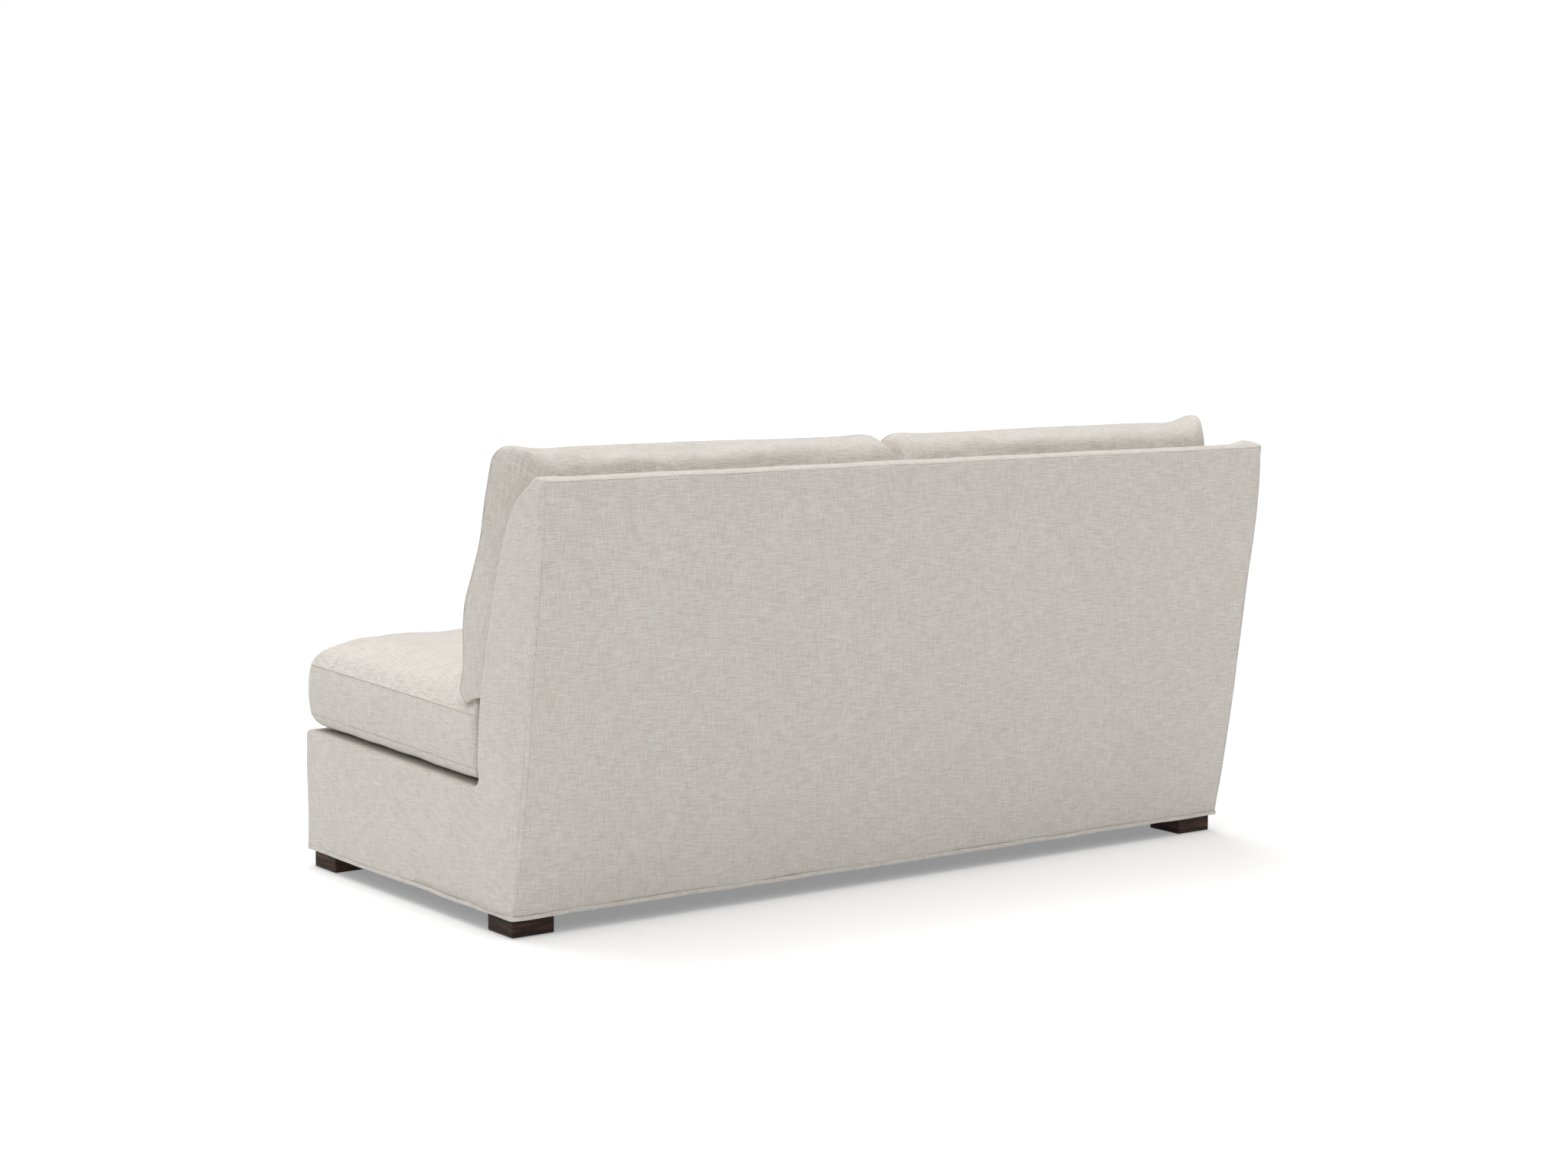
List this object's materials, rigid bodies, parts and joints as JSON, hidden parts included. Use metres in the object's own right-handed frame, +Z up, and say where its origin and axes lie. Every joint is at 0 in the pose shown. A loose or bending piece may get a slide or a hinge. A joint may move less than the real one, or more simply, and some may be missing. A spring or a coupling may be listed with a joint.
{
  "type": "loveseat",
  "caption": "Armless loveseat with a raked back, loose box seat cushions and loose back cushions in pale linen weave, on low dark square block feet.",
  "frame": {"origin": "on the floor, at the middle of the overall width and depth", "axes": "+X along the width, to the left as seated; the front faces -Y; +Z up"},
  "size_m": [1.7, 0.892, 0.85],
  "materials": {
    "linen": "matte",
    "frame_wood": "matte",
    "foot_wood": "satin",
    "spring_steel": "satin",
    "zinc_steel": "satin",
    "clip_plastic": "matte",
    "glide_plastic": "matte",
    "wadding": "matte",
    "webbing": "matte",
    "foam": "matte",
    "dust_cloth": "matte",
    "zip_tape": "matte",
    "zip_metal": "satin"
  },
  "bodies": {
    "frame": {"front_rail": "frame_wood", "rear_rail": "frame_wood", "side_rail_left": "frame_wood", "side_rail_right": "frame_wood", "cross_stretcher_left": "frame_wood", "cross_stretcher_right": "frame_wood", "corner_blocks": "frame_wood", "back_post_left": "frame_wood", "back_post_right": "frame_wood", "back_post_centre": "frame_wood", "back_top_rail": "frame_wood", "back_lower_rail": "frame_wood", "seat_springs": "spring_steel", "spring_tie_wires": "spring_steel", "frame_screws": "zinc_steel", "hanger_bolts": "zinc_steel", "tee_nuts": "zinc_steel", "spring_clips": "clip_plastic", "foot_glides": "glide_plastic", "spring_insulator": "wadding", "deck_pad": "wadding", "outside_back_wadding": "wadding", "front_wadding": "wadding", "end_wadding_left": "wadding", "end_wadding_right": "wadding", "deck_cover": "linen", "inside_back_cover": "linen", "outside_back_cover": "linen", "front_cover": "linen", "end_cover_left": "linen", "end_cover_right": "linen", "hem_welt": "linen", "back_webbing": "webbing", "back_pad": "foam", "dust_cover": "dust_cloth", "foot_front_left": "foot_wood", "foot_front_right": "foot_wood", "foot_rear_left": "foot_wood", "foot_rear_right": "foot_wood"},
    "seat_cushion_left": {"seat_cover_left": "linen", "seat_wrap_left": "wadding", "seat_core_left": "foam", "seat_zip_left": "zip_tape"},
    "back_cushion_left": {"back_cover_left": "linen", "back_insert_left": "wadding", "back_zip_left": "zip_tape"},
    "seat_zip_pull_left": {"seat_zip_slider_left": "zip_metal"},
    "back_zip_pull_left": {"back_zip_slider_left": "zip_metal"},
    "seat_cushion_right": {"seat_cover_right": "linen", "seat_wrap_right": "wadding", "seat_core_right": "foam", "seat_zip_right": "zip_tape"},
    "back_cushion_right": {"back_cover_right": "linen", "back_insert_right": "wadding", "back_zip_right": "zip_tape"},
    "seat_zip_pull_right": {"seat_zip_slider_right": "zip_metal"},
    "back_zip_pull_right": {"back_zip_slider_right": "zip_metal"}
  },
  "joints": [
    {"name": "seat_cushion_left_pull_out", "type": "slide", "parent": "frame", "child": "seat_cushion_left", "axis": [0, -0.9996, 0.03], "range_m": [0, 0.4]},
    {"name": "back_cushion_left_lift_off", "type": "slide", "parent": "frame", "child": "back_cushion_left", "axis": [0, 0, 1], "range_m": [0, 0.4]},
    {"name": "seat_zip_left_open", "type": "slide", "parent": "seat_cushion_left", "child": "seat_zip_pull_left", "axis": [1, 0, 0], "range_m": [0, 0.688]},
    {"name": "back_zip_left_open", "type": "slide", "parent": "back_cushion_left", "child": "back_zip_pull_left", "axis": [1, 0, 0], "range_m": [0, 0.688]},
    {"name": "seat_cushion_right_pull_out", "type": "slide", "parent": "frame", "child": "seat_cushion_right", "axis": [0, -0.9996, 0.03], "range_m": [0, 0.4]},
    {"name": "back_cushion_right_lift_off", "type": "slide", "parent": "frame", "child": "back_cushion_right", "axis": [0, 0, 1], "range_m": [0, 0.4]},
    {"name": "seat_zip_right_open", "type": "slide", "parent": "seat_cushion_right", "child": "seat_zip_pull_right", "axis": [-1, 0, 0], "range_m": [0, 0.688]},
    {"name": "back_zip_right_open", "type": "slide", "parent": "back_cushion_right", "child": "back_zip_pull_right", "axis": [-1, 0, 0], "range_m": [0, 0.688]}
  ]
}
